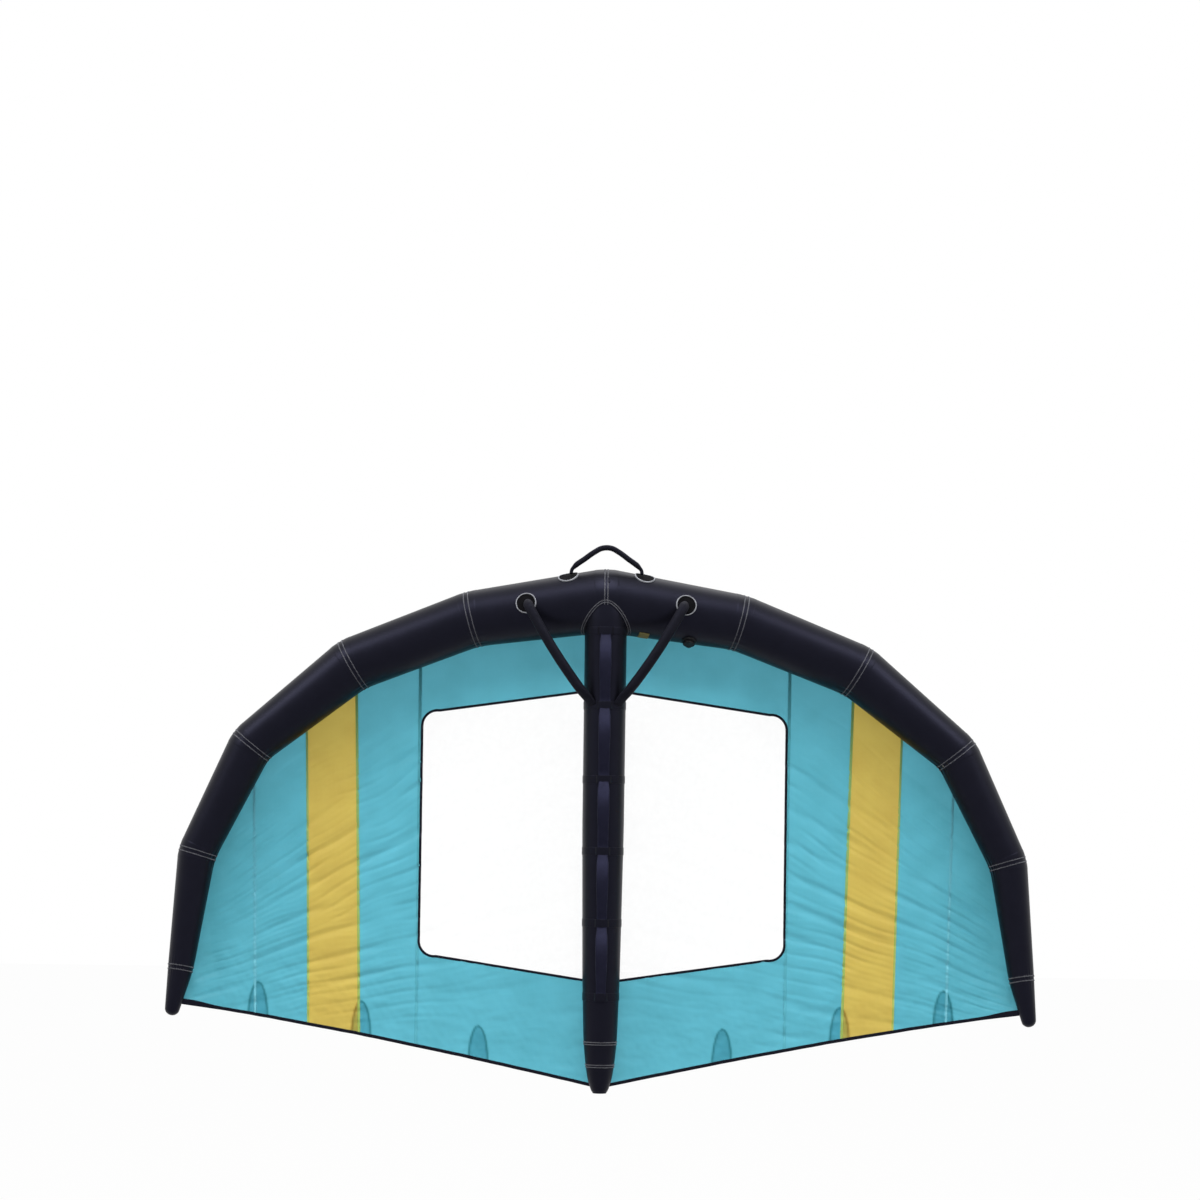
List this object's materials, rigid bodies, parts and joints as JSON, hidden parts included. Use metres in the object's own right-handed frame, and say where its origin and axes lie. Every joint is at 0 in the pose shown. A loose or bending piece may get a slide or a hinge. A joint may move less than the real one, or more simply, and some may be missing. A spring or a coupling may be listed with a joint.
{
  "type": "wingfoil wing",
  "caption": "Hand-held inflatable wing for wing foiling: swept tubular leading edge, centre strut with handles, and a striped canopy with clear windows.",
  "frame": {"origin": "the nose: the foremost point of the leading edge tube at the middle of the span", "axes": "+X along the span, +Y out of the canopy's upper side, +Z from the tail to the nose, so the wing stands nose up with its strut and handles towards -Y"},
  "size_m": [3.3752, 0.3999, 2.1075],
  "materials": {
    "black_dacron": "matte",
    "band_dacron": "matte",
    "bladder_film": "satin",
    "webbing": "matte",
    "handle_padding": "matte",
    "eyelet_rubber": "satin",
    "cyan_ripstop": "satin",
    "yellow_ripstop": "satin",
    "window_film": "gloss",
    "valve_plastic": "satin"
  },
  "bodies": {
    "wing": {"canopy_center": "cyan_ripstop", "canopy_hem": "band_dacron", "canopy_inner_left": "cyan_ripstop", "canopy_inner_right": "cyan_ripstop", "canopy_outer_left": "cyan_ripstop", "canopy_outer_right": "cyan_ripstop", "canopy_stripe_left": "yellow_ripstop", "canopy_stripe_right": "yellow_ripstop", "canopy_tip_left": "cyan_ripstop", "canopy_tip_right": "cyan_ripstop", "canopy_window_left": "window_film", "canopy_window_right": "window_film", "front_eyelet_left": "eyelet_rubber", "front_eyelet_right": "eyelet_rubber", "le_band_1_left": "band_dacron", "le_band_1_right": "band_dacron", "le_band_2_left": "band_dacron", "le_band_2_right": "band_dacron", "le_band_3_left": "band_dacron", "le_band_3_right": "band_dacron", "le_band_4_left": "band_dacron", "le_band_4_right": "band_dacron", "le_band_center": "band_dacron", "le_bladder": "bladder_film", "le_panel_1_left": "black_dacron", "le_panel_1_right": "black_dacron", "le_panel_2_left": "black_dacron", "le_panel_2_right": "black_dacron", "le_panel_3_left": "black_dacron", "le_panel_3_right": "black_dacron", "le_panel_4_left": "black_dacron", "le_panel_4_right": "black_dacron", "le_panel_5_left": "black_dacron", "le_panel_5_right": "black_dacron", "le_tip_left": "black_dacron", "le_tip_right": "black_dacron", "strut_bladder": "bladder_film", "strut_handle_1": "webbing", "strut_handle_2": "webbing", "strut_handle_3": "webbing", "strut_handle_4": "webbing", "strut_handle_5": "webbing", "strut_handle_strip": "webbing", "strut_sleeve": "black_dacron", "strut_tail_cap": "band_dacron", "te_patch_1_left": "cyan_ripstop", "te_patch_1_right": "cyan_ripstop", "te_patch_2_left": "cyan_ripstop", "te_patch_2_right": "cyan_ripstop", "te_patch_3_left": "cyan_ripstop", "te_patch_3_right": "cyan_ripstop", "v_eyelet_left": "eyelet_rubber", "v_eyelet_right": "eyelet_rubber", "v_handle_left": "handle_padding", "v_handle_right": "handle_padding", "valve_base": "valve_plastic", "valve_insert": "valve_plastic"},
    "front_handle": {"front_handle": "handle_padding"},
    "valve_cap": {"valve_cap": "valve_plastic"}
  },
  "joints": [
    {"name": "front_handle_swing", "type": "hinge", "parent": "wing", "child": "front_handle", "pos_m": [0, -0.03969, -0.01966], "axis": [1, 0, 0], "range_deg": [-30, 30], "stiffness_Nm_per_rad": 0.6},
    {"name": "valve_cap_hinge", "type": "hinge", "parent": "wing", "child": "valve_cap", "pos_m": [0.32073, 0.01459, -0.2981], "axis": [0.9984, -0.022, -0.0527], "range_deg": [0, 120]}
  ]
}
